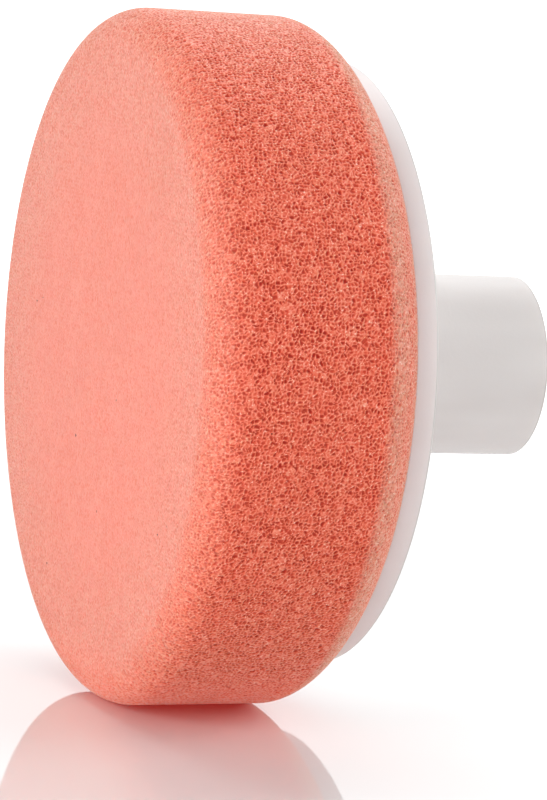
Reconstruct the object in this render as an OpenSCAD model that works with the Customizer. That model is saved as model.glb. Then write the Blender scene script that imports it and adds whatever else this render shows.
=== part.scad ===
// Spindle-mounted polishing pad: a foam disc held by hook-and-loop on a threaded backing plate.
// The axis of rotation is X. The hub's open end is at the origin and the working face looks along -X.
// Inside the modules the axis is drawn along Z, and on_axis() lays it along X.

/* [Foam pad] */
// Outside diameter of the foam
foam_d = 85; // [78:1:100]
// Thickness of the foam
foam_t = 25; // [15:0.5:40]
// Radius of the working face's edge
edge_r = 4.4; // [1:0.2:6]
// Length of the rounded shoulder, along the axis
shoulder_len = 4.7; // [2:0.1:9]
// Diameter of the foam at its back
foam_back_d = 74.2; // [66:0.2:76]

/* [Hook-and-loop] */
// Thickness of the film between the foam and the loop cloth
laminate_t = 0.1; // [0.1:0.05:0.5]
// Thickness of the loop cloth
loop_t = 0.6; // [0.4:0.1:2]
// Diameter of the loop cloth
loop_d = 74.4; // [60:0.2:74.8]
// Gap between the cloth and the hook sheet, which the hooks bridge
grip_gap = 0.15; // [0.1:0.05:0.5]
// Thickness of the hook sheet without its hooks
hook_t = 0.35; // [0.2:0.05:1]
// Diameter of the hook sheet
hook_d = 74; // [60:0.2:74.8]
// Thickness of the adhesive film on the plate
adhesive_t = 0.1; // [0.1:0.05:0.4]

/* [Backing plate] */
// Diameter of the plate
plate_d = 75; // [74:1:78]
// Thickness of the plate
plate_t = 2.8; // [1.6:0.2:4]
// Number of stiffening ribs
rib_count = 8; // [4:1:12]
// Thickness of each rib
rib_t = 1.8; // [1:0.2:3]
// Height of the ribs where they meet the collar
rib_h = 6; // [3:0.5:8]
// Height of the ribs at their outer end
rib_end_h = 1; // [0.5:0.5:2]
// Distance from the ribs' outer end to the plate's edge
rib_margin = 4; // [2:0.5:10]
// Wall of the collar around the hub
collar_wall = 3.2; // [2:0.2:5]
// Bevel around the plate's back edge
plate_bevel = 0.35; // [0.1:0.05:0.8]

/* [Hub] */
// Outside diameter of the barrel
hub_d = 22.7; // [22:0.1:28]
// Length of the barrel behind the plate
hub_out = 26.5; // [22:0.5:40]
// Diameter of the flange let into the plate
flange_d = 34; // [30:1:40]
// Thickness of the flange
flange_t = 1; // [0.6:0.1:1.4]
// Room for glue around the barrel and the flange
glue_gap = 0.05; // [0.02:0.01:0.1]

/* [Thread insert] */
// Length of the insert
insert_len = 20; // [14:1:22]
// Diameter over the insert's collars and the corners of its hexagon
insert_d = 18.5; // [17.5:0.5:19]
// Length of each collar
insert_collar = 3; // [2:0.5:4]
// Minor diameter of the M14 x 2 thread
bore_d = 11.84; // [10:0.01:12]

/* [Hidden] */

$fn = 96;
arc_steps = 8;
// Cutters reach this far past the surface that they open
past = 1;

// Places along the axis, counted back from the hub's open end
plate_back = -hub_out;
plate_front = plate_back - plate_t;
adhesive_front = plate_front - adhesive_t;
hook_front = adhesive_front - hook_t;
loop_back = hook_front - grip_gap;
loop_front = loop_back - loop_t;
foam_back = loop_front - laminate_t;
work_face = foam_back - foam_t;

foam_r = foam_d / 2;
shoulder_start = foam_back - shoulder_len;
// The shoulder's curve leaves the side along the axis and is steered by this corner
shoulder_pull = 0.7;
shoulder_corner = [foam_r, shoulder_start + shoulder_pull * shoulder_len];

collar_r = hub_d / 2 + collar_wall;
rib_end_r = plate_d / 2 - rib_margin;

coral = [0.95, 0.45, 0.36];
dark_coral = [0.84, 0.36, 0.28];
film = [0.96, 0.86, 0.82];
hook_white = [0.93, 0.93, 0.95];
white = [0.92, 0.9, 0.88];
steel = [0.62, 0.63, 0.65];

// Point of a quadratic curve from a to c, steered by b
function curve(a, b, c, t) = (1 - t) * (1 - t) * a + 2 * t * (1 - t) * b + t * t * c;

module on_axis() {
    rotate([0, 90, 0]) children();
}

module disc(d, front, back) {
    translate([0, 0, front]) cylinder(d = d, h = back - front);
}

// Half section of the foam: flat face, rounded edge, straight side and shoulder
module foam_section() {
    edge = [
        for (i = [0:arc_steps])
            let (a = 90 * i / arc_steps)
                [foam_r - edge_r + edge_r * sin(a), work_face + edge_r - edge_r * cos(a)]
    ];
    shoulder = [
        for (i = [0:arc_steps])
            curve([foam_r, shoulder_start], shoulder_corner, [foam_back_d / 2, foam_back], i / arc_steps)
    ];
    polygon(concat([[0, work_face]], edge, shoulder, [[0, foam_back]]));
}

module foam_pad() {
    color(coral) on_axis() rotate_extrude() foam_section();
}

module laminate_film() {
    color(film) on_axis() disc(loop_d, foam_back, loop_front);
}

module loop_disc() {
    color(dark_coral) on_axis() disc(loop_d, loop_front, loop_back);
}

module hook_disc() {
    color(hook_white) on_axis() disc(hook_d, hook_front, adhesive_front);
}

module hook_adhesive() {
    color(film) on_axis() disc(hook_d, adhesive_front, plate_front);
}

// One upright web, highest at the collar
module rib() {
    rotate([90, 0, 0])
        linear_extrude(height = rib_t, center = true)
            polygon([
                [hub_d / 2, plate_front + flange_t],
                [rib_end_r, plate_front + flange_t],
                [rib_end_r, plate_back + rib_end_h],
                [collar_r, plate_back + rib_h],
                [hub_d / 2, plate_back + rib_h]
            ]);
}

module plate_body() {
    disc(plate_d, plate_front, plate_back - plate_bevel);
    translate([0, 0, plate_back - plate_bevel])
        cylinder(d1 = plate_d, d2 = plate_d - 2 * plate_bevel, h = plate_bevel);
    disc(2 * collar_r, plate_front, plate_back + rib_h);
    for (i = [0:rib_count - 1]) {
        rotate([0, 0, 360 * (i + 0.5) / rib_count]) rib();
    }
}

module backing_plate() {
    color(white) on_axis()
        difference() {
            plate_body();
            disc(hub_d + 2 * glue_gap, plate_front - past, plate_back + rib_h + past);
            disc(flange_d + 2 * glue_gap, plate_front - past, plate_front + flange_t);
        }
}

// Outside of the insert: a hexagon that can't turn, between collars that can't pull out
module insert_outside() {
    translate([0, 0, -insert_len]) cylinder(d = insert_d, h = insert_len, $fn = 6);
    disc(insert_d, -insert_len, insert_collar - insert_len);
    disc(insert_d, -insert_collar, 0);
}

module spindle_hub() {
    color(white) on_axis()
        difference() {
            union() {
                disc(hub_d, plate_front, 0);
                disc(flange_d, plate_front, plate_front + flange_t);
            }
            insert_outside();
        }
}

module thread_insert() {
    color(steel) on_axis()
        difference() {
            insert_outside();
            disc(bore_d, -insert_len - past, past);
        }
}

foam_pad();
laminate_film();
loop_disc();
hook_disc();
hook_adhesive();
backing_plate();
spindle_hub();
thread_insert();
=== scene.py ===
"""Looks for the polishing pad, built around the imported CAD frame.

Metres, with +X out of the hub's mouth and +Z up.
"""

import math

import bpy
import numpy as np
from mathutils import Matrix, Vector


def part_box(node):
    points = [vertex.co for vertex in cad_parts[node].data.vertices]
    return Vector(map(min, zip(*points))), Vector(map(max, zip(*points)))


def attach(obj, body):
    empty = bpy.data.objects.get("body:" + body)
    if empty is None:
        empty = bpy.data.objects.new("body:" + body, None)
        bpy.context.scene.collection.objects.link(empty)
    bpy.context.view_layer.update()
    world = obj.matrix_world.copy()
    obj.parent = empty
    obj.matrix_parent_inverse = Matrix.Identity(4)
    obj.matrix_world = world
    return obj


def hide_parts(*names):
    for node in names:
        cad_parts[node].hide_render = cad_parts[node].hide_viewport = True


MM = 0.001
PAD, PLATE = "pad", "plate"  # the two CAD bodies

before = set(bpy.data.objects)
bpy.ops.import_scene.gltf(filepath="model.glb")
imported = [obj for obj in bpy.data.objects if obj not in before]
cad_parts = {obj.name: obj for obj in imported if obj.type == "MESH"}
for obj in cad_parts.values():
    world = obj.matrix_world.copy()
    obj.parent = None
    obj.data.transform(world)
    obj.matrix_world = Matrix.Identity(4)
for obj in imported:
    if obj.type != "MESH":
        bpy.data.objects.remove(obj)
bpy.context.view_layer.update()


# ---------------------------------------------------------------- places, all from the frame
def span(node):
    """A round node's front and back along X, and its radius."""
    low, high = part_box(node)
    return low.x, high.x, (high.y - low.y) / 2


face_x, foam_back, foam_r = span("foam_pad")
loop_front, loop_back, loop_r = span("loop_disc")
hook_front, hook_back, hook_r = span("hook_disc")
plate_front, rib_top, plate_r = span("backing_plate")
hub_front, mouth_x, flange_r = span("spindle_hub")
insert_end, _, insert_r = span("thread_insert")
floor_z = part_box("foam_pad")[0].z

# Sizes that the frame's boxes don't hold
PLATE_T = 2.8 * MM
HUB_R = 11.35 * MM
FLANGE_T = 1.0 * MM
COLLAR_R = 14.55 * MM
RIB_COUNT = 8
RIB_HALF_T = 0.9 * MM
RIB_END_R = 33.5 * MM
RIB_END_H = 1.0 * MM
plate_back = plate_front + PLATE_T
flange_back = hub_front + FLANGE_T


# ---------------------------------------------------------------- mesh helpers
def make_mesh(name, points, faces, material, attributes=(), baked_at=None):
    """A smooth mesh from an array of points and a list of face arrays, each with one number of corners.

    Attributes are pairs of a name and a value per point. baked_at is a texture place per face corner.
    """
    mesh = bpy.data.meshes.new(name)
    loops = np.concatenate([np.asarray(f, np.int32).ravel() for f in faces])
    sizes = np.concatenate([np.full(len(f), np.shape(f)[1], np.int32) for f in faces])
    starts = np.concatenate([[0], np.cumsum(sizes)[:-1]]).astype(np.int32)
    mesh.vertices.add(len(points))
    mesh.vertices.foreach_set("co", np.asarray(points, np.float32).ravel())
    mesh.loops.add(len(loops))
    mesh.loops.foreach_set("vertex_index", loops)
    mesh.polygons.add(len(sizes))
    mesh.polygons.foreach_set("loop_start", starts)
    mesh.update(calc_edges=True)
    mesh.polygons.foreach_set("use_smooth", np.ones(len(sizes), bool))
    for label, values in attributes:
        layer = mesh.attributes.new(label, "FLOAT", "POINT")
        layer.data.foreach_set("value", np.asarray(values, np.float32))
    if baked_at is not None:
        layer = mesh.uv_layers.new(name="OFBake")
        layer.data.foreach_set("uv", np.asarray(baked_at, np.float32).ravel())
    mesh.materials.append(material)
    obj = bpy.data.objects.new(name, mesh)
    bpy.context.scene.collection.objects.link(obj)
    return obj


def ring_quads(rows, columns, first=0, closed=False):
    """Quads between rows of a ring grid, outward where X rises or the radius grows with the row."""
    i = np.arange(rows if closed else rows - 1)[:, None] * columns
    up = (i + columns) % (rows * columns)
    j = np.arange(columns)[None, :]
    k = (j + 1) % columns
    return first + np.stack([i + j, i + k, up + k, up + j], -1).reshape(-1, 4)


def on_circle(x, r, angle):
    """Points at a distance r from the X axis. Angle 0 is +Z, and the angle turns towards +Y."""
    x, r, angle = np.broadcast_arrays(x, r, angle)
    return np.stack([x, r * np.sin(angle), r * np.cos(angle)], -1)


def evenly(points, step):
    """The corners of a line, filled in so that no stretch is longer than step."""
    filled = [points[0]]
    for a, b in zip(points[:-1], points[1:]):
        n = max(1, math.ceil(math.dist(a, b) / step))
        filled += [tuple(np.add(a, np.subtract(b, a) * (k / n))) for k in range(1, n + 1)]
    return filled


def arc(centre, radii, start, end, steps):
    """Points on an ellipse's arc in the (x, r) plane, from start to end in degrees. 0 degrees is along x."""
    turns = np.radians(np.linspace(start, end, steps + 1))
    return [(centre[0] + radii[0] * math.cos(t), centre[1] + radii[1] * math.sin(t)) for t in turns]


def lathe(profile, segments):
    """Points and face arrays of an (x, r) outline turned about X, from one place on the axis to another.

    The outline runs from its low-X end out, along and back in, so that its faces look outward.
    """
    outline = np.array(profile)
    body = outline[1:-1]
    turns = np.linspace(0, 2 * np.pi, segments, endpoint=False)
    rings = on_circle(body[:, :1], body[:, 1:], turns[None, :]).reshape(-1, 3)
    poles = [(outline[0, 0], 0, 0), (outline[-1, 0], 0, 0)]
    points = np.concatenate([rings, poles])
    j = np.arange(segments)
    k = (j + 1) % segments
    last = len(rings) - segments
    start = np.stack([k, j, np.full(segments, len(rings))], -1)
    end = np.stack([last + j, last + k, np.full(segments, len(rings) + 1)], -1)
    return points, [ring_quads(len(body), segments), start, end]


def tubes(paths, across, radii, sides):
    """Points and face arrays of thin closed tubes along paths (n, k, 3), bent at right angles to across."""
    n, k, _ = paths.shape
    along = np.gradient(paths, axis=1)
    along /= np.linalg.norm(along, axis=2, keepdims=True)
    flat = np.broadcast_to(across[:, None], paths.shape)
    up = np.cross(along, flat)
    turns = np.arange(sides)[:, None] * 2 * np.pi / sides
    ring = np.cos(turns) * flat[:, :, None] + np.sin(turns) * up[:, :, None]
    points = paths[:, :, None] + ring * np.asarray(radii)[:, None, None]
    first = (np.arange(n) * k * sides)[:, None, None]
    ends = np.stack([np.arange(sides)[::-1], (k - 1) * sides + np.arange(sides)])
    quads = ring_quads(k, sides)[:, ::-1] + first
    return points.reshape(-1, 3), [quads.reshape(-1, 4), (ends + first).reshape(-1, sides)]


def joined(parts):
    """One set of points and face arrays from several."""
    points, faces, count = [], [], 0
    for p, arrays in parts:
        points.append(p)
        faces += [a + count for a in arrays]
        count += len(p)
    return np.concatenate(points), faces


def smoothstep(low, high, x):
    """0 below low and 1 above high, with a smooth step between."""
    t = np.clip((x - low) / (high - low), 0, 1)
    return t * t * (3 - 2 * t)


def scatter(a, b, salt):
    """A fixed random number from 0 to 1 for each pair of whole numbers, by a common integer hash."""
    a, b = (v.astype(np.int64).astype(np.uint32) for v in (a, b))
    half, stir = np.uint32(16), np.uint32(0x45D9F3B)
    with np.errstate(over="ignore"):
        h = a * np.uint32(73856093) ^ b * np.uint32(19349663) ^ np.uint32(salt * 2654435761 % 2**32)
        h = (h ^ (h >> half)) * stir
        h = (h ^ (h >> half)) * stir
    return (h ^ (h >> half)).astype(float) / 2**32


def ripple(u, v, around, salt):
    """Smooth random values from -0.5 to 0.5, one for each cell and blended between them."""
    a, b = np.floor(u), np.floor(v)
    s, t = smoothstep(0, 1, u - a), smoothstep(0, 1, v - b)
    corner = [[scatter((a + i) % around, b + j, salt) for j in (0, 1)] for i in (0, 1)]
    low, high = (c[0] * (1 - t) + c[1] * t for c in corner)
    return low * (1 - s) + high * s - 0.5


def foam_cells(u, v, around, salt):
    """Cut foam cells at places (u, v) on a surface, in cells, where u comes round again after around cells.

    Gives how far each place is from the strut between its two nearest cells, where a weak strut counts as
    further away, and its own cell's number from 0 to 1.
    """
    shift = [WARP * ripple(u, v, around, salt + k) for k in (20, 30)]
    u, v = u + shift[0], v + shift[1]
    near, second = np.full(u.shape, 9.0), np.full(u.shape, 9.0)
    number, other = np.zeros(u.shape), np.zeros(u.shape)
    for du, dv in np.ndindex(3, 3):
        a, b = np.floor(u) + du - 1, np.floor(v) + dv - 1
        wrapped = a % around
        stray = [CELL_JITTER * (scatter(wrapped, b, salt + k) - 0.5) for k in (0, 1)]
        d = np.hypot(a + 0.5 + stray[0] - u, b + 0.5 + stray[1] - v)
        mark = scatter(wrapped, b, salt + 2)
        nearer, between = d < near, (d >= near) & (d < second)
        other = np.where(nearer, number, np.where(between, mark, other))
        second = np.where(nearer, near, np.where(between, d, second))
        number, near = np.where(nearer, mark, number), np.where(nearer, d, near)
    strength = (number + other) * STRUT_SPREAD % 1
    return (second - near) / (WEAKEST_STRUT + (1 - WEAKEST_STRUT) * strength), number


# ---------------------------------------------------------------- material helpers
class Nodes:
    """A material's node tree with short calls to add and join nodes."""

    def __init__(self, name):
        self.material = bpy.data.materials.new(name)
        self.material.use_nodes = True
        self.tree = self.material.node_tree
        self.shader = self.tree.nodes["Principled BSDF"]
        self.place = self.tree.nodes.new("ShaderNodeTexCoord").outputs["Object"]

    def add(self, kind, inputs=None, **settings):
        node = self.tree.nodes.new(kind)
        for key, value in settings.items():
            setattr(node, key, value)
        for key, value in (inputs or {}).items():
            self.put(value, node.inputs[key])
        return node

    def put(self, value, socket):
        if isinstance(value, bpy.types.NodeSocket):
            self.tree.links.new(value, socket)
        else:
            socket.default_value = value

    def noise(self, scale, detail=3.0, roughness=0.55, place=None):
        inputs = {"Vector": place or self.place, "Scale": scale, "Detail": detail, "Roughness": roughness}
        return self.add("ShaderNodeTexNoise", inputs).outputs["Fac"]

    def stretched(self, scale):
        """Object coordinates stretched by a factor along each axis."""
        return self.add("ShaderNodeVectorMath", {0: self.place, 1: scale}, operation="MULTIPLY").outputs[0]

    def maths(self, operation, a, b=0.0):
        return self.add("ShaderNodeMath", {0: a, 1: b}, operation=operation).outputs[0]

    def fit(self, value, low, high, to_low, to_high):
        names = ("Value", "From Min", "From Max", "To Min", "To Max")
        inputs = dict(zip(names, (value, low, high, to_low, to_high)))
        return self.add("ShaderNodeMapRange", inputs).outputs["Result"]

    def smooth(self, value, low, high):
        """0 below low and 1 above high, with a smooth step between."""
        inputs = {"Value": value, "From Min": low, "From Max": high}
        return self.add("ShaderNodeMapRange", inputs, interpolation_type="SMOOTHSTEP").outputs["Result"]

    def mix(self, factor, a, b):
        node = self.add("ShaderNodeMix", data_type="RGBA")
        for key, value in (("Factor_Float", factor), ("A_Color", a), ("B_Color", b)):
            socket = next(s for s in node.inputs if s.identifier == key)
            self.put(value, socket)
        return next(s for s in node.outputs if s.identifier == "Result_Color")

    def attribute(self, name):
        return self.add("ShaderNodeAttribute", attribute_name=name).outputs["Fac"]

    def bump(self, height, distance, strength, over=None):
        inputs = {"Height": height, "Distance": distance, "Strength": strength}
        if over is not None:
            inputs["Normal"] = over
        return self.add("ShaderNodeBump", inputs).outputs["Normal"]

    def set(self, **values):
        """Values for the shader's sockets, with _ for a space."""
        for key, value in values.items():
            self.put(value, self.shader.inputs[key.replace("_", " ")])


def colour(r, g, b):
    """An opaque colour, in linear light."""
    return (r, g, b, 1.0)


# ---------------------------------------------------------------- the foam's sizes, and the materials
CELL_PITCH = 0.45 * MM
CELL_JITTER = 0.85  # how far cell centres stray from an even grid, in pitches
WARP = 0.75  # how far the struts wander from straight, in pitches
WEAKEST_STRUT = 0.38  # its width as a share of a strong strut's
STRUT_SPREAD = 7  # turns two cells' numbers into the strength of the strut between them
STRUT_WALL = (0.08, 0.45)  # from the top of a strut to its side, as foam_cells measures it; the painted shade starts down this slope
PORE_WALL = (0.28, 0.95)  # from a pore's edge to its deepest part
PORE_DEPTH = 0.24 * MM
SHALLOWEST_PORE = 0.5  # depth of the shallowest pore as a share of the deepest
FACE_DEPTH = 0.3  # pores on the cut working face are this share as deep
SPECK_CELLS = (0.9992, 0.9997)  # the few cells that hold a dark speck of dust, by their number
CUT_FADE = (-2.0 * MM, 6.5 * MM)  # from the rim, where the cut face's finish, with shallower pores and less painted pore shade, fades into the side's
EDGE_IN = (-18 * MM, 0)  # from the rim, where the coarse zone round the front edge, with painted sheen, painted glints and deeper painted pore shade, comes in
EDGE_OUT = (2 * MM, 8 * MM)  # and where it ends
SHOULDER_TILT = (0.10, 0.42)  # how far the shoulder leans back where its painted highlight starts and is complete
LIP_FADE = (2.8 * MM, 5.4 * MM)  # from the lip's end, where the shoulder's painted highlight comes in
LIP_HIGHLIGHT = 0.1  # the painted highlight's share at the lip itself
GLOW = 0.15  # strength of a painted red glow that the foam emits near the table, in place of light that passes through the foam
GLOW_HEIGHT = 10 * MM  # how far up it reaches
EDGE_AXIAL, EDGE_RADIAL = 4.4 * MM, 4.6 * MM
SHOULDER_LEN = 4.7 * MM
SHOULDER_PULL = 0.7  # place of the corner that steers the shoulder's curve, as a share of its length
LIP_LAP, LIP_RISE = 0.1 * MM, 0.08 * MM  # how far the lip reaches past the plate's front and over its rim
LIP_INSIDE = 0.08 * MM  # room between the lip and the cloth's rim
LIP_EDGE, LIP_WALL = 0.04 * MM, 0.2 * MM  # how far the lip's inner side stays clear of the plate
LIP_FRAY, FRAY_STEPS = 0.7 * MM, 3  # twice how deep the lip's end is frayed, and ring steps from tuft to tuft
CURVE_STEPS = 64
FACE_GRID = 540  # squares along each side of the working face's grid; a ring has four times as many
ANY_WAY_ROUND = 10**6  # cells around the flat face, where they never come round again
STRIP_GAP = 8  # ring steps between the parts of the baked texture
BACK_SHRINK = 0.6  # scale of the plain back in the baked texture
BAKE_MARGIN = 1.01


def foam_material():
    """Open-cell foam: bright strut tops with painted glints round darker, redder pores of painted shade, all
    paler on the cut working face; painted sheen and glints round the front edge, a painted highlight on the
    shoulder and a painted red glow near the table.
    """
    n = Nodes("coral_foam")
    cell, edge, shoulder = n.attribute("cell"), n.attribute("edge"), n.attribute("shoulder")
    wall = n.maths("ADD", n.attribute("wall"), n.fit(n.noise(4200, 2.0, 0.6), 0.2, 0.8, -0.2, 0.2))
    opening = n.smooth(wall, *PORE_WALL)
    pore_shade = n.maths("MULTIPLY", opening, n.fit(cell, 0.0, 1.0, 0.55, 1.0))

    strut = n.smooth(n.noise(2800, 2.0), 0.35, 0.65)
    strut = n.mix(strut, colour(0.85, 0.185, 0.10), colour(0.92, 0.295, 0.19))
    # Painted glints: small bright spots on the strut tops
    strut = n.mix(n.smooth(n.noise(4600, 1.0), 0.60, 0.70), strut, colour(1.0, 0.60, 0.47))
    # Painted shade: darker and redder down the strut sides, and much darker in the pores
    side = n.mix(n.smooth(wall, *STRUT_WALL), strut, colour(0.82, 0.112, 0.048))
    side = n.mix(pore_shade, side, colour(0.46, 0.014, 0.004))

    # Painted highlight: a pale beige band where the shoulder leans back, with painted glints in it
    shoulder_highlight = n.maths("MULTIPLY", shoulder, n.fit(n.noise(2600, 2.0), 0.3, 0.7, 0.15, 0.85))
    side = n.mix(shoulder_highlight, side, colour(0.72, 0.36, 0.25))
    shoulder_glints = n.maths("MULTIPLY", shoulder, n.smooth(n.noise(3600, 1.0), 0.64, 0.70))
    side = n.mix(n.maths("MULTIPLY", shoulder_glints, 0.6), side, colour(1.0, 0.80, 0.66))

    face = n.smooth(n.noise(1300, 3.0), 0.3, 0.7)
    face = n.mix(face, colour(0.91, 0.235, 0.165), colour(0.95, 0.28, 0.205))
    # Only a trace of the painted pore shade on the working face
    face = n.mix(n.maths("MULTIPLY", pore_shade, 0.14), face, colour(0.55, 0.06, 0.03))
    both = n.mix(n.attribute("flat"), side, face)

    # Painted sheen, painted glints and deeper painted pore shade round the front edge
    edge_sheen = n.maths("MULTIPLY", edge, n.fit(n.noise(2400, 2.0), 0.3, 0.7, 0.05, 0.65))
    both = n.mix(edge_sheen, both, colour(0.76, 0.285, 0.19))
    edge_glints = n.maths("MULTIPLY", edge, n.smooth(n.noise(3000, 2.0), 0.54, 0.64))
    both = n.mix(n.maths("MULTIPLY", edge_glints, 0.5), both, colour(0.95, 0.55, 0.42))
    both = n.mix(n.maths("MULTIPLY", n.maths("MULTIPLY", edge, pore_shade), 0.4), both, colour(0.60, 0.05, 0.02))
    both = n.mix(n.fit(n.noise(160), 0.35, 0.65, 0.0, 0.14), both, colour(0.80, 0.14, 0.07))
    speck = n.maths("MULTIPLY", opening, n.smooth(cell, *SPECK_CELLS))

    n.set(Base_Color=n.mix(speck, both, colour(0.06, 0.012, 0.010)))
    n.set(Roughness=n.fit(opening, 0.0, 1.0, 0.6, 0.9))
    n.set(Sheen_Weight=0.65, Sheen_Roughness=0.4, Sheen_Tint=colour(1.0, 0.80, 0.74))
    n.set(Subsurface_Weight=0.5, Subsurface_Scale=0.01, Subsurface_Radius=(1.0, 0.10, 0.05))
    # Painted glow: the foam's lowest part emits a faint red light
    n.set(Emission_Color=colour(1.0, 0.03, 0.01))
    n.set(Emission_Strength=n.maths("MULTIPLY", n.attribute("low"), GLOW))
    n.set(Normal=n.bump(n.noise(7000, 2.0), 0.00006, 0.5))
    return n.material


def cloth_material():
    """Coral polyester with fine fibres and a soft sheen."""
    n = Nodes("coral_loop_cloth")
    fibres = n.noise(5200, 4.0, 0.7)
    blend = n.fit(fibres, 0.35, 0.65, 0.0, 1.0)
    n.set(Base_Color=n.mix(blend, colour(0.93, 0.30, 0.20), colour(1.0, 0.52, 0.42)), Roughness=0.85)
    n.set(Sheen_Weight=0.5, Sheen_Roughness=0.4, Sheen_Tint=colour(1.0, 0.8, 0.75))
    n.set(Normal=n.bump(fibres, 0.0001, 0.7))
    return n.material


def plastic_material(name, base, light):
    """Satin moulded plastic: faint bands along the axis, partly flow marks and partly painted shade bands,
    fine texture, a few scuffs and a painted dark line of shade on the marked edges.
    """
    n = Nodes(name)
    flow = n.noise(75, 3.0, 0.5, n.stretched((0.25, 1.0, 1.0)))
    grain = n.noise(2600, 2.0)
    scuffs = n.fit(n.noise(420, 5.0, 0.7, n.stretched((1.0, 0.12, 0.3))), 0.60, 0.68, 0.0, 1.0)
    # Soft bands along the axis, partly flow marks of the moulding and partly painted shade bands
    body = n.mix(n.fit(flow, 0.3, 0.7, 0.0, 1.0), base, light)
    # Painted shade: a dark line along the edges that the edge attribute marks
    n.set(Base_Color=n.mix(n.maths("MULTIPLY", n.attribute("edge"), 0.75), body, colour(0.50, 0.475, 0.46)))
    n.set(Roughness=n.maths("ADD", n.fit(grain, 0.3, 0.7, 0.31, 0.43), n.maths("MULTIPLY", scuffs, 0.12)))
    n.set(Normal=n.bump(scuffs, 0.00002, 0.35, n.bump(grain, 0.00003, 0.35, n.bump(flow, 0.0004, 0.12))))
    n.set(Subsurface_Weight=0.25, Subsurface_Scale=0.0015, Subsurface_Radius=(1.0, 0.85, 0.75))
    return n.material


def film_material(node):
    """A clear glue film over coral foam or white plastic, by the node's name."""
    n = Nodes("bond_" + node)
    tones = {
        "laminate_film": (colour(0.62, 0.13, 0.09), colour(0.80, 0.24, 0.18)),
        "hook_adhesive": (colour(0.62, 0.55, 0.52), colour(0.74, 0.68, 0.66)),
    }
    n.set(Base_Color=n.mix(n.noise(900), *tones[node]))
    n.set(Roughness=n.fit(n.noise(2200), 0.3, 0.7, 0.3, 0.5))
    return n.material


def hook_material():
    """Slightly translucent white nylon."""
    n = Nodes("hook_nylon")
    n.set(Base_Color=n.mix(n.noise(700), colour(0.78, 0.76, 0.77), colour(0.86, 0.85, 0.86)))
    n.set(Roughness=n.fit(n.noise(3000), 0.3, 0.7, 0.28, 0.42))
    n.set(Subsurface_Weight=0.2, Subsurface_Scale=0.001)
    return n.material


def steel_material():
    """Turned steel: rings on its end face and a thread that is darker towards the bottom of its grooves."""
    n = Nodes("turned_steel")
    rings = n.noise(5200, 2.0, 0.5, n.stretched((1.0, 0.02, 0.02)))
    groove = n.attribute("groove")
    worn = n.mix(n.noise(500, 4.0), colour(0.56, 0.56, 0.57), colour(0.66, 0.66, 0.67))
    # Darker towards the bottom of the thread's grooves
    n.set(Base_Color=n.mix(groove, worn, colour(0.20, 0.19, 0.18)), Metallic=1.0)
    n.set(Roughness=n.fit(rings, 0.3, 0.7, 0.26, 0.40), Normal=n.bump(rings, 0.00003, 0.3))
    return n.material


# ---------------------------------------------------------------- foam pad
def foam_outline(step):
    """The foam's side in (x, r): from the flat face's rim round the front edge and the shoulder to its lip.

    The soft foam bulges past the cloth and the hook sheet, and its lip closes the gap to the plate.
    """
    edge = arc((face_x + EDGE_AXIAL, foam_r - EDGE_RADIAL), (EDGE_AXIAL, EDGE_RADIAL), 180, 90, CURVE_STEPS)
    start = np.array((foam_back - SHOULDER_LEN, foam_r))
    corner = np.array((foam_back - (1 - SHOULDER_PULL) * SHOULDER_LEN, foam_r))
    end = np.array((plate_front + LIP_LAP, plate_r + LIP_RISE))
    t = np.linspace(0, 1, CURVE_STEPS + 1)[:, None]
    shoulder = (1 - t) ** 2 * start + 2 * t * (1 - t) * corner + t * t * end
    line = np.concatenate([edge, shoulder])
    lengths = np.concatenate([[0], np.cumsum(np.linalg.norm(np.diff(line, axis=0), axis=1))])
    places = np.linspace(0, lengths[-1], round(lengths[-1] / step) + 1)
    return np.stack([np.interp(places, lengths, line[:, k]) for k in (0, 1)], 1)


def face_grid(n, radius):
    """An even grid of squares bent into a disc, and for each point the ring place that it shares, or -1."""
    a, b = np.meshgrid(np.linspace(-1, 1, n + 1), np.linspace(-1, 1, n + 1), indexing="ij")
    wide = np.abs(a) > np.abs(b)
    r = np.where(wide, a, b)
    safe = np.where(r == 0, 1, r)
    angle = np.where(wide, np.pi / 4 * b / safe, np.pi / 2 - np.pi / 4 * a / safe)
    disc = on_circle(face_x, radius * r, angle).reshape(-1, 3)
    turn = np.where(r < 0, angle + np.pi, angle)
    shared = np.round(turn / (2 * np.pi) * 4 * n).astype(int) % (4 * n)
    inside = (np.abs(a) < 1) & (np.abs(b) < 1)
    return disc, np.where(inside, -1, shared).ravel()


def bake_layout(face, back, rows, ring, step):
    """Places in a square texture for the working face, the side cut into four strips, and the back."""
    quarter = ring // 4
    row, column = np.divmod(np.arange((rows - 1) * ring)[:, None], ring)
    strip, column = np.divmod(column, quarter)
    column = column + np.array([0, 1, 1, 0]) + strip % 2 * (quarter + STRIP_GAP)
    row = row + np.array([0, 0, 1, 1]) + strip // 2 * (rows + STRIP_GAP)
    side = np.stack([column, row], -1) * step
    low = 2 * (rows + STRIP_GAP) * step
    face = face - face.min((0, 1)) + (0, low)
    back = np.concatenate([part.reshape(-1, 2) for part in back]) * BACK_SHRINK
    back += (face[..., 0].max() + STRIP_GAP * step, low) - back.min(0)
    parts = [face.reshape(-1, 2), side.reshape(-1, 2), back]
    return np.concatenate(parts) / (max(part.max() for part in parts) * BAKE_MARGIN)


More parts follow.
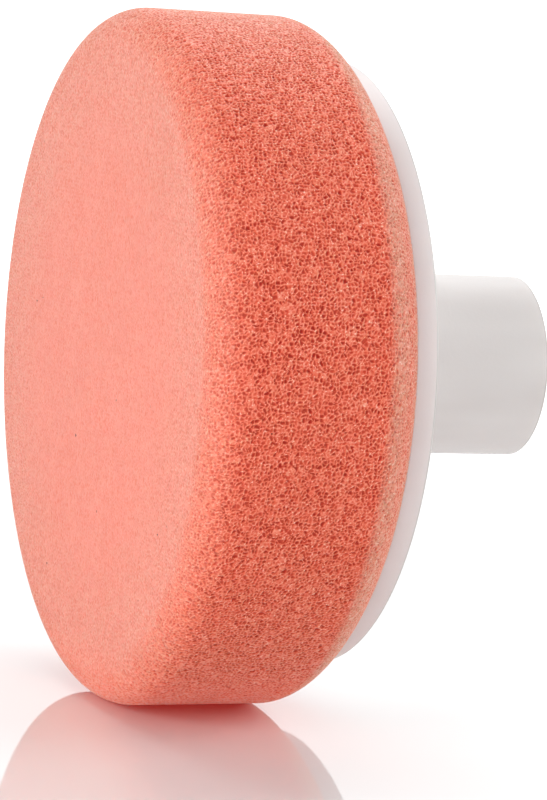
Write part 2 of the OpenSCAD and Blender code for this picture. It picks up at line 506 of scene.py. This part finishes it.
def foam_cut(outline, step, ring, disc, lean):
    """How the cut foam looks at each of its points: first the side's, then the working face's own.

    Each value is from 0 to 1, apart from the distance from the nearest strut, which is called wall.
    """
    on_face = len(disc)
    around = round(2 * np.pi * foam_r / CELL_PITCH)
    u, v = np.meshgrid(np.arange(ring) / ring * around, np.arange(len(outline)) * step / CELL_PITCH)
    side_cells = foam_cells(u.ravel(), v.ravel(), around, 1)
    face_cells = foam_cells(disc[:, 1] / CELL_PITCH, disc[:, 2] / CELL_PITCH, ANY_WAY_ROUND, 5)
    wall, cell = (np.concatenate(pair) for pair in zip(side_cells, face_cells))
    along = np.repeat(np.arange(len(outline)) * step, ring)
    from_rim = np.concatenate([along, np.hypot(*disc[:, 1:].T) - outline[0, 1]])
    from_lip = np.concatenate([along[::-1], np.full(on_face, foam_r)])
    highlight_share = LIP_HIGHLIGHT + (1 - LIP_HIGHLIGHT) * smoothstep(*LIP_FADE, from_lip)
    return {
        "wall": wall,
        "cell": cell,
        "flat": 1 - smoothstep(*CUT_FADE, from_rim),
        "edge": smoothstep(*EDGE_IN, from_rim) * (1 - smoothstep(*EDGE_OUT, from_rim)),
        # where the shoulder leans back: the mask of its painted highlight and glints
        "shoulder": smoothstep(*SHOULDER_TILT, lean) * highlight_share,
    }


def foam_pad():
    """One dense mesh: the flat face is a grid bent into a disc, and the rings of the side share its rim."""
    n, ring = FACE_GRID, 4 * FACE_GRID
    step = 2 * np.pi * foam_r / ring
    outline = foam_outline(step)
    turns = np.arange(ring) * 2 * np.pi / ring
    side = on_circle(outline[:, :1], outline[:, 1:], turns[None, :]).reshape(-1, 3)
    slope = np.gradient(outline, axis=0)
    slope /= np.linalg.norm(slope, axis=1)[:, None]
    out_side = on_circle(-slope[:, 1:], slope[:, :1], turns[None, :]).reshape(-1, 3)
    disc, shared = face_grid(n, outline[0, 1])
    inner = shared < 0
    number = np.where(inner, len(side) + np.cumsum(inner) - 1, shared)
    outward = np.concatenate([out_side, np.tile((-1.0, 0.0, 0.0), (int(inner.sum()), 1))])

    shown = foam_cut(outline, step, ring, disc[inner], outward[:, 0])
    depth = PORE_DEPTH * (1 - (1 - FACE_DEPTH) * shown["flat"])
    depth = depth * (SHALLOWEST_PORE + (1 - SHALLOWEST_PORE) * shown["cell"])
    sunk = depth * smoothstep(*PORE_WALL, shown["wall"])
    points = np.concatenate([side, disc[inner]]) - outward * sunk[:, None]
    last = (len(outline) - 1) * ring
    frayed = LIP_FRAY * np.abs(ripple(np.arange(ring) / FRAY_STEPS, np.zeros(ring), ring // FRAY_STEPS, 61))
    points[last : last + ring] = side[last : last + ring] - frayed[:, None] * (1, 0, 0)
    # The mask of the painted red glow, strongest where the foam touches the table
    shown["low"] = 1 - smoothstep(0, GLOW_HEIGHT, points[:, 2] - floor_z)

    inside = loop_r + LIP_INSIDE
    under = [(plate_front - LIP_EDGE, plate_r - LIP_WALL), (plate_front - LIP_WALL, inside)]
    under = np.array(under + [(foam_back, inside)])
    under = on_circle(under[:, :1], under[:, 1:], turns).reshape(-1, 3)
    first, centre = len(points), len(points) + len(under)
    points = np.concatenate([points, under, [(foam_back, 0, 0)]])
    grid = np.arange((n + 1) ** 2).reshape(n + 1, n + 1)
    corners = np.stack([grid[:-1, :-1], grid[:-1, 1:], grid[1:, 1:], grid[1:, :-1]], -1).reshape(-1, 4)
    k = np.arange(ring)
    after = (k + 1) % ring
    lip = np.stack([last + k, last + after, first + after, first + k], -1)
    lip = np.concatenate([lip, ring_quads(3, ring, first)])
    cap = np.stack([centre - ring + k, centre - ring + after, np.full(ring, centre)], -1)
    faces = [number[corners], ring_quads(len(outline), ring), lip, cap]
    hidden = np.zeros(len(under) + 1)
    attributes = [(name, np.append(values, hidden)) for name, values in shown.items()]
    back = [points[part][..., 1:] for part in (lip, cap)]
    layout = bake_layout(disc[corners][..., 1:], back, len(outline), ring, step)
    piece = make_mesh("foam_pad_porous", points, faces, foam_material(), attributes, layout)
    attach(piece, PAD)
    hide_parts("foam_pad")


# ---------------------------------------------------------------- backing plate
RIM_FRONT, RIM_BACK = 0.25 * MM, 0.35 * MM  # rounding of the plate's two edges
RIM_STEPS = 5
TOP_FILLET, FOOT_FILLET = 0.25 * MM, 0.6 * MM  # rounding along the ribs and the collar
DRAFT = 0.03 * MM  # how far the side of a rib or the collar leans out from top to foot
FILLET_STEPS = 4
BETWEEN_RIBS = 24  # columns from one rib's foot to the next
FRONT_STEP = 2.5 * MM
OUTER_RINGS, END_RINGS, MIDDLE_RINGS = 5, 7, 16  # outside the ribs, over their rounded ends and along them


def wall_offsets(half):
    """Distances from a wall's middle to the points that its rounded section needs, from its edge outward."""
    a = np.linspace(0, np.pi / 2, FILLET_STEPS + 1)
    top = half - TOP_FILLET * (1 - np.sin(a))
    foot = half + DRAFT + FOOT_FILLET * (1 - np.cos(a))
    return np.concatenate([top, foot])


def wall_height(offset, half, height):
    """The height of a wall's rounded section at a distance from its middle."""
    top = np.clip(offset - half + TOP_FILLET, 0, TOP_FILLET)
    crown = height - TOP_FILLET + np.sqrt(TOP_FILLET**2 - top**2)
    foot = np.clip(half + DRAFT + FOOT_FILLET - offset, 0, FOOT_FILLET)
    base = FOOT_FILLET - np.sqrt(FOOT_FILLET**2 - foot**2)
    return np.where(offset < half + DRAFT / 2, crown, base)


def rib_height(r):
    """How high a rib stands at a radius, sloping down outside the collar, and the rounding at its end."""
    rise = rib_top - plate_back
    slope = np.interp(r, [COLLAR_R, RIB_END_R], [rise, RIB_END_H])
    over = np.clip((r - RIB_END_R + TOP_FILLET) / TOP_FILLET, 0, 1)
    return slope, np.sqrt(1 - over**2)


def plate_columns(r):
    """The angle of each column at each radius, and its distance from the middle of its rib."""
    beside = np.concatenate([[0.0], wall_offsets(RIB_HALF_T)])
    beside = np.arcsin(np.concatenate([-beside[:0:-1], beside]) / r[:, None])
    foot = beside[:, -1:]
    sector = 2 * np.pi / RIB_COUNT
    between = foot + (sector - 2 * foot) * np.arange(1, BETWEEN_RIBS) / BETWEEN_RIBS
    local = np.concatenate([beside, between], 1)
    angle = local[:, None, :] + (np.arange(RIB_COUNT)[:, None] + 0.5) * sector
    return angle.reshape(len(r), -1), np.tile(np.abs(np.sin(local)) * r[:, None], RIB_COUNT)


def backing_plate():
    """One surface of rings: plain in front and round the rim, raised over the ribs and the collar."""
    front = [(flange_back, HUB_R), (flange_back, flange_r), (plate_front, flange_r + RIM_FRONT)]
    front += evenly([(plate_front, flange_r + 1 * MM), (plate_front, plate_r - 2 * RIM_FRONT)], FRONT_STEP)
    front += arc((plate_front + RIM_FRONT, plate_r - RIM_FRONT), (RIM_FRONT, RIM_FRONT), 180, 90, RIM_STEPS)
    front += arc((plate_back - RIM_BACK, plate_r - RIM_BACK), (RIM_BACK, RIM_BACK), 90, 0, RIM_STEPS)
    outer = np.linspace(plate_r - 2 * RIM_BACK, RIB_END_R + 0.3 * MM, OUTER_RINGS)
    end = RIB_END_R - TOP_FILLET * (1 - np.sin(np.linspace(np.pi / 2, 0, END_RINGS)))
    collar = wall_offsets(COLLAR_R)[::-1]
    middle = np.linspace(RIB_END_R - 1 * MM, collar[0] + 0.5 * MM, MIDDLE_RINGS)
    back_r = np.concatenate([outer, end, middle, collar, [(COLLAR_R + HUB_R) / 2, HUB_R]])
    r = np.concatenate([np.array(front)[:, 1], back_r])
    angle, offset = plate_columns(r)
    slope, end_factor = rib_height(back_r[:, None])
    ribs = wall_height(offset[len(front) :], RIB_HALF_T, slope) * end_factor
    ring = wall_height(back_r[:, None], COLLAR_R, rib_top - plate_back)
    back_x = plate_back + np.maximum(ribs, ring)
    front_x = np.tile(np.array(front)[:, :1], angle.shape[1])
    x = np.concatenate([front_x, back_x])
    points = on_circle(x, r[:, None], angle).reshape(-1, 3)
    base, light = colour(0.785, 0.738, 0.731), colour(0.835, 0.786, 0.781)
    plastic = plastic_material("white_plate_plastic", base, light)
    # Marks the rim's back rounding for a painted dark line of shade
    edge = np.zeros(len(r))
    edge[len(front) - RIM_STEPS : len(front)] = 1
    edge = np.repeat(edge, angle.shape[1])
    quads = ring_quads(*angle.shape, closed=True)
    piece = make_mesh("backing_plate_moulded", points, [quads], plastic, [("edge", edge)])
    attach(piece, PLATE)
    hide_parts("backing_plate")


# ---------------------------------------------------------------- hub and its threaded insert
HUB_BEVEL, SEAT_BEVEL, FLANGE_FILLET = 0.16 * MM, 0.15 * MM, 0.4 * MM
MOUTH_STEPS = 6
TURN_SEGMENTS = 192


def spindle_hub():
    """A barrel on a flange, with a bevelled mouth and a blind seat for the insert."""
    b, c, f = HUB_BEVEL, SEAT_BEVEL, FLANGE_FILLET
    outline = [(hub_front, 0.0), (hub_front, flange_r / 2), (hub_front, flange_r - 2 * c)]
    outline += arc((hub_front + c, flange_r - c), (c, c), 180, 0, 8)
    outline += [(flange_back, flange_r - 2 * c)]
    outline += arc((flange_back + f, HUB_R + f), (f, f), 180, 270, 5)
    outline += evenly([(flange_back + 2 * f, HUB_R), (mouth_x - 2 * b, HUB_R)], 1.2 * MM)
    rim = len(outline)
    outline += arc((mouth_x - b, HUB_R - b), (b, b), 90, 0, MOUTH_STEPS)
    outline += arc((mouth_x - c, insert_r + c), (c, c), 0, -90, 5)
    outline += [(insert_end, insert_r), (insert_end, insert_r / 2), (insert_end, 0.0)]
    points, faces = lathe(outline, TURN_SEGMENTS)
    plastic = plastic_material("white_hub_plastic", colour(0.72, 0.68, 0.665), colour(0.84, 0.81, 0.795))
    # Marks the mouth's outer bevel for a painted dark line of shade
    edge = np.zeros(len(points))
    edge[(rim - 1) * TURN_SEGMENTS : (rim + MOUTH_STEPS) * TURN_SEGMENTS] = 1
    piece = make_mesh("spindle_hub_moulded", points, faces, plastic, [("edge", edge)])
    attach(piece, PLATE)
    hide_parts("spindle_hub")


THREAD_PITCH = 2.0 * MM
MINOR_R, MAJOR_R = 5.92 * MM, 7.05 * MM
CREST, ROOT = 1 / 4, 1 / 8  # flats of the thread, as shares of its pitch
THREAD_MOUTH_R = 7.35 * MM  # where the thread's countersink meets the insert's end
COLLAR_LEN = 3.0 * MM
THREAD_COLUMNS = 120
THREAD_STEP = THREAD_PITCH / 24
HEXAGON_SHARE = 0.995  # the hexagon's corners, as a share of the collars' radius


def thread_radius(x, angle):
    """The radius of a right-hand internal thread, with a countersink at each end."""
    turn = x / THREAD_PITCH + angle / (2 * np.pi)
    from_root = np.abs(turn - np.floor(turn) - 0.5) * 2
    rise = np.clip((from_root - ROOT) / (1 - CREST - ROOT), 0, 1)
    sunk = THREAD_MOUTH_R - np.minimum(mouth_x - x, x - insert_end)
    return np.maximum(MAJOR_R - (MAJOR_R - MINOR_R) * rise, sunk)


def thread_insert():
    """Two round collars with a hexagon between them outside, and the thread inside."""
    c, angle = SEAT_BEVEL, np.linspace(0, 2 * np.pi, THREAD_COLUMNS, endpoint=False)
    collar = [(insert_end, THREAD_MOUTH_R), (insert_end, insert_r - 2 * c)]
    collar += arc((insert_end + c, insert_r - c), (c, c), 180, 90, 4) + [(insert_end + COLLAR_LEN, insert_r)]
    mouth = [(insert_end + mouth_x - x, r) for x, r in collar[::-1]]
    sixth = np.pi / 3
    hexagon = HEXAGON_SHARE * insert_r * np.cos(sixth / 2) / np.cos(angle % sixth - sixth / 2)
    bore_x = np.arange(mouth_x - THREAD_STEP, insert_end, -THREAD_STEP)[:, None]
    bore_r = thread_radius(bore_x, angle)
    ends = [np.tile(np.array(part)[:, 1:], THREAD_COLUMNS) for part in (collar, mouth)]
    r = np.concatenate([ends[0], [hexagon, hexagon], ends[1], bore_r])
    flats = [(insert_end + COLLAR_LEN,), (mouth_x - COLLAR_LEN,)]
    x = np.concatenate([np.array(collar)[:, :1], flats, np.array(mouth)[:, :1], bore_x])
    groove = np.zeros_like(r)
    groove[-len(bore_r) :] = np.clip((bore_r - MINOR_R) / (MAJOR_R - MINOR_R), 0, 1)
    points = on_circle(x, r, angle).reshape(-1, 3)
    quads = ring_quads(len(r), THREAD_COLUMNS, closed=True)
    piece = make_mesh("thread_insert_turned", points, [quads], steel_material(), [("groove", groove.ravel())])
    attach(piece, PLATE)
    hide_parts("thread_insert")


# ---------------------------------------------------------------- hook-and-loop
HOOK_ROW, HOOK_STEP = 1.25 * MM, 0.9 * MM
HOOK_STEM, HOOK_BEND = 0.40 * MM, 0.15 * MM  # height of the straight stem and radius of the bend above it
HOOK_ROOT, HOOK_FOOT_R, HOOK_TIP_R = 0.05 * MM, 0.115 * MM, 0.06 * MM
HOOK_TURN = 210  # degrees from the stem to the tip
HOOK_MARGIN = 0.6 * MM
HOOK_SHEET_EDGE = 0.08 * MM
NAP_PITCH = 0.85 * MM
NAP_MARGIN = 0.4 * MM
FRINGE_PITCH = 0.06 * MM
FRINGE_INSET = 0.2 * MM
NAP_R = 0.035 * MM  # thickness of one yarn of the nap, as a radius
NAP_ROOT = 0.08 * MM
CLOTH_T = 0.3 * MM  # the knitted ground under the loops
CLOTH_EDGE = 0.1 * MM  # rounding of the ground's rim, and how far it stays inside the cloth's outline


def sheet_disc(front, back, radius, edge):
    """A thin disc with a rounded rim, in rings close enough to shade well."""
    middle, step = 2 * MM, 3 * MM
    outline = [(front, 0.0)] + evenly([(front, middle), (front, radius - 2 * edge)], step)
    outline += arc((front + edge, radius - edge), (edge, edge), 180, 90, 3)
    outline += arc((back - edge, radius - edge), (edge, edge), 90, 0, 3)
    outline += evenly([(back, radius - 2 * edge), (back, middle)], step) + [(back, 0.0)]
    return lathe(outline, TURN_SEGMENTS)


def hook_tape():
    """The hook sheet, with rows of moulded J hooks that point one way and the other, row by row."""
    reach = hook_r - HOOK_MARGIN
    rows = np.arange(-reach, reach, HOOK_ROW)
    steps = np.arange(-reach, reach, HOOK_STEP)
    row, step = (v.ravel() for v in np.meshgrid(np.arange(len(rows)), np.arange(len(steps)), indexing="ij"))
    y, z = rows[row], steps[step] + (row % 2) * HOOK_STEP / 2
    way = np.where(row % 2, 1.0, -1.0)
    kept = np.hypot(y, z) < reach
    y, z, way = y[kept], z[kept], way[kept]
    bend = np.radians(np.linspace(0, HOOK_TURN, 7))
    height = np.concatenate([[-HOOK_ROOT, HOOK_STEM / 2], HOOK_STEM + HOOK_BEND * np.sin(bend)])
    lean = np.concatenate([[0, 0], HOOK_BEND * (1 - np.cos(bend))])
    radii = np.linspace(HOOK_FOOT_R, HOOK_TIP_R, len(height))
    x = hook_front - height
    paths = np.stack(np.broadcast_arrays(x, y[:, None], z[:, None] + way[:, None] * lean), -1)
    across = np.tile((0.0, 1.0, 0.0), (len(y), 1))
    disc = sheet_disc(hook_front, hook_back, hook_r, HOOK_SHEET_EDGE)
    points, faces = joined([disc, tubes(paths, across, radii, 6)])
    piece = make_mesh("hook_tape", points, faces, hook_material())
    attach(piece, PLATE)
    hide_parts("hook_disc")


def yarn_loops(root, out, along, width, height, lean):
    """Arched yarn loops: each stands up from its root along out and spans along, leaning at its top."""
    u = np.linspace(0, 1, 8)
    side = np.cross(out, along)
    arch = np.sin(np.pi * u)
    paths = (
        root[:, None]
        - NAP_ROOT * out[:, None]
        + (width[:, None] * (u - 0.5 + 0.18 * np.sin(2 * np.pi * u)))[..., None] * along[:, None]
        + (height[:, None] * arch**0.7)[..., None] * out[:, None]
        + (lean[:, None] * arch)[..., None] * side[:, None]
    )
    return tubes(paths, side, np.full(len(u), NAP_R), 4)


def nap_field(draw, ground_back):
    """Loops all over the back of the cloth's ground."""
    cells = np.arange(-loop_r, loop_r, NAP_PITCH)
    y, z = (v.ravel() for v in np.meshgrid(cells, cells))
    y, z = (v + draw.uniform(-0.5, 0.5, v.size) * NAP_PITCH for v in (y, z))
    kept = np.hypot(y, z) < loop_r - NAP_MARGIN
    y, z = y[kept], z[kept]
    n = len(y)
    turn = draw.uniform(0, np.pi, n)
    root = np.stack([np.full(n, ground_back), y, z], -1)
    out = np.tile((1.0, 0.0, 0.0), (n, 1))
    along = np.stack([np.zeros(n), np.cos(turn), np.sin(turn)], -1)
    width = draw.uniform(0.5, 1.1, n) * MM
    height = (loop_back - ground_back) * draw.uniform(0.7, 1.3, n)
    return yarn_loops(root, out, along, width, height, draw.uniform(-0.4, 0.4, n) * MM)


def nap_fringe(draw):
    """Shorter loops that stick out of the cloth's rim."""
    n = round(2 * np.pi * loop_r / FRINGE_PITCH)
    angle = np.sort(draw.uniform(0, 2 * np.pi, n))
    root = on_circle(draw.uniform(loop_front, loop_back, n), loop_r - FRINGE_INSET, angle)
    out = on_circle(draw.uniform(0.6, 1.6, n), 1.0, angle)
    out /= np.linalg.norm(out, axis=1)[:, None]
    around = on_circle(0.0, 1.0, angle + np.pi / 2)
    width = draw.uniform(0.3, 0.8, n) * MM
    height = draw.uniform(0.1, 0.25, n) * MM
    return yarn_loops(root, out, around, width, height, draw.uniform(-0.2, 0.2, n) * MM)


def loop_cloth():
    """Brushed loop cloth: a knitted ground, a tangle of small loops on it, and a fringe round its rim."""
    draw = np.random.default_rng(11)
    ground_back = loop_front + CLOTH_T
    ground_r = loop_r - CLOTH_EDGE
    coral = cloth_material()
    ground = make_mesh("loop_cloth_ground", *sheet_disc(loop_front, ground_back, ground_r, CLOTH_EDGE), coral)
    nap = make_mesh("loop_cloth_nap", *joined([nap_field(draw, ground_back), nap_fringe(draw)]), coral)
    for piece in (ground, nap):
        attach(piece, PAD)
    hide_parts("loop_disc")


def films():
    """The two thin bonded films stay as the CAD made them, with their own finish."""
    for node in ("laminate_film", "hook_adhesive"):
        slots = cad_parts[node].material_slots
        slots[0].material = film_material(node)


# ---------------------------------------------------------------- stage, camera and lights
CAMERA_DISTANCE = 10.0  # in foam radii, from the working face's centre
CAMERA_YAW, CAMERA_PITCH = 21.24, 1.1  # of the pad's axis, in degrees
CAMERA_HEIGHT = 6.0  # above the floor's horizon, in degrees
FACE_RIGHT, FACE_UP = -0.5096, 0.1273  # the face's centre from the middle of the view, in foam radii
LENS = 156.9  # mm
TABLE_FADE = (0.13, 0.45)  # from the hub's mouth, in metres, where the table starts to fade and is gone
TABLE_ROUGHNESS = 0.04
AMBIENT, BACKDROP = 0.38, 1.45  # strength of the white surroundings as a light, and for the eye and gloss


def camera():
    """The pad's axis runs right, slightly down and away from the camera, which looks down on the floor."""
    yaw, pitch = math.radians(CAMERA_YAW), math.radians(CAMERA_PITCH)
    axis = Vector((math.cos(yaw) * math.cos(pitch), -math.cos(yaw) * math.sin(pitch), -math.sin(yaw)))
    up_y, up_z = math.cos(math.radians(CAMERA_HEIGHT)), math.sin(math.radians(CAMERA_HEIGHT))
    up = Vector((-(axis.y * up_y + axis.z * up_z) / axis.x, up_y, up_z)).normalized()
    to_camera = Matrix((axis, up.cross(axis), up)).transposed()
    turn = to_camera.transposed()
    face = Vector((face_x, 0, 0))
    seen_at = Vector((FACE_RIGHT, FACE_UP, -CAMERA_DISTANCE)) * foam_r
    data = bpy.data.cameras.new("camera")
    data.lens = LENS
    data.clip_start, data.clip_end = 0.01, 50
    obj = bpy.data.objects.new("camera", data)
    obj.matrix_world = Matrix.Translation(face - turn @ seen_at) @ turn.to_4x4()
    bpy.context.scene.collection.objects.link(obj)
    bpy.context.scene.camera = obj


def softbox(name, place, size, power):
    """A square area light at a place in metres from the pad's middle, aimed there, unseen by the camera."""
    data = bpy.data.lights.new(name, "AREA")
    data.shape, data.size = "SQUARE", size
    data.energy = power
    obj = bpy.data.objects.new(name, data)
    middle = Vector(((face_x + mouth_x) / 2, 0, 0))
    obj.location = middle + Vector(place)
    obj.rotation_mode = "QUATERNION"
    obj.rotation_quaternion = (-Vector(place)).to_track_quat("-Z", "Y")
    obj.visible_camera = False
    bpy.context.scene.collection.objects.link(obj)


def floor():
    """A glossy white table that fades out into the white surroundings, so that it has no far edge."""
    n = Nodes("white_table")
    n.set(Base_Color=n.mix(n.noise(3), colour(0.89, 0.89, 0.89), colour(0.91, 0.91, 0.91)))
    n.set(Roughness=TABLE_ROUGHNESS)
    away = n.add("ShaderNodeVectorMath", {0: n.place}, operation="LENGTH").outputs["Value"]
    clear = n.add("ShaderNodeBsdfTransparent").outputs[0]
    blend = n.add("ShaderNodeMixShader", {0: n.smooth(away, *TABLE_FADE), 1: n.shader.outputs[0], 2: clear})
    n.tree.links.new(blend.outputs[0], n.tree.nodes["Material Output"].inputs["Surface"])
    side = 2 * TABLE_FADE[1]
    corners = [(-side, -side, floor_z), (side, -side, floor_z), (side, side, floor_z), (-side, side, floor_z)]
    make_mesh("floor", corners, [np.array([[0, 1, 2, 3]])], n.material)


def surroundings():
    """White all round for the eye and for gloss, and a softer white for everything the light falls on."""
    world = bpy.data.worlds.new("studio")
    world.use_nodes = True
    nodes, links = world.node_tree.nodes, world.node_tree.links
    path = nodes.new("ShaderNodeLightPath")
    seen = nodes.new("ShaderNodeMath")
    seen.operation = "MAXIMUM"
    links.new(path.outputs["Is Camera Ray"], seen.inputs[0])
    links.new(path.outputs["Is Glossy Ray"], seen.inputs[1])
    strength = nodes.new("ShaderNodeMapRange")
    strength.inputs["To Min"].default_value = AMBIENT
    strength.inputs["To Max"].default_value = BACKDROP
    links.new(seen.outputs[0], strength.inputs["Value"])
    links.new(strength.outputs["Result"], nodes["Background"].inputs["Strength"])
    nodes["Background"].inputs["Color"].default_value = colour(1, 1, 1)
    bpy.context.scene.world = world
    bpy.context.scene.view_settings.view_transform = "Standard"


# ---------------------------------------------------------------- the scene
camera()
surroundings()
floor()
softbox("key", (-0.58, -0.30, 0.15), 0.45, 2.6)
softbox("top", (0.05, 0.35, 0.65), 0.6, 2.3)
softbox("rim", (0.50, -0.15, 0.25), 0.35, 1.5)
softbox("fill", (-0.05, -0.65, 0.03), 0.4, 0.45)
foam_pad()
loop_cloth()
hook_tape()
backing_plate()
spindle_hub()
thread_insert()
films()
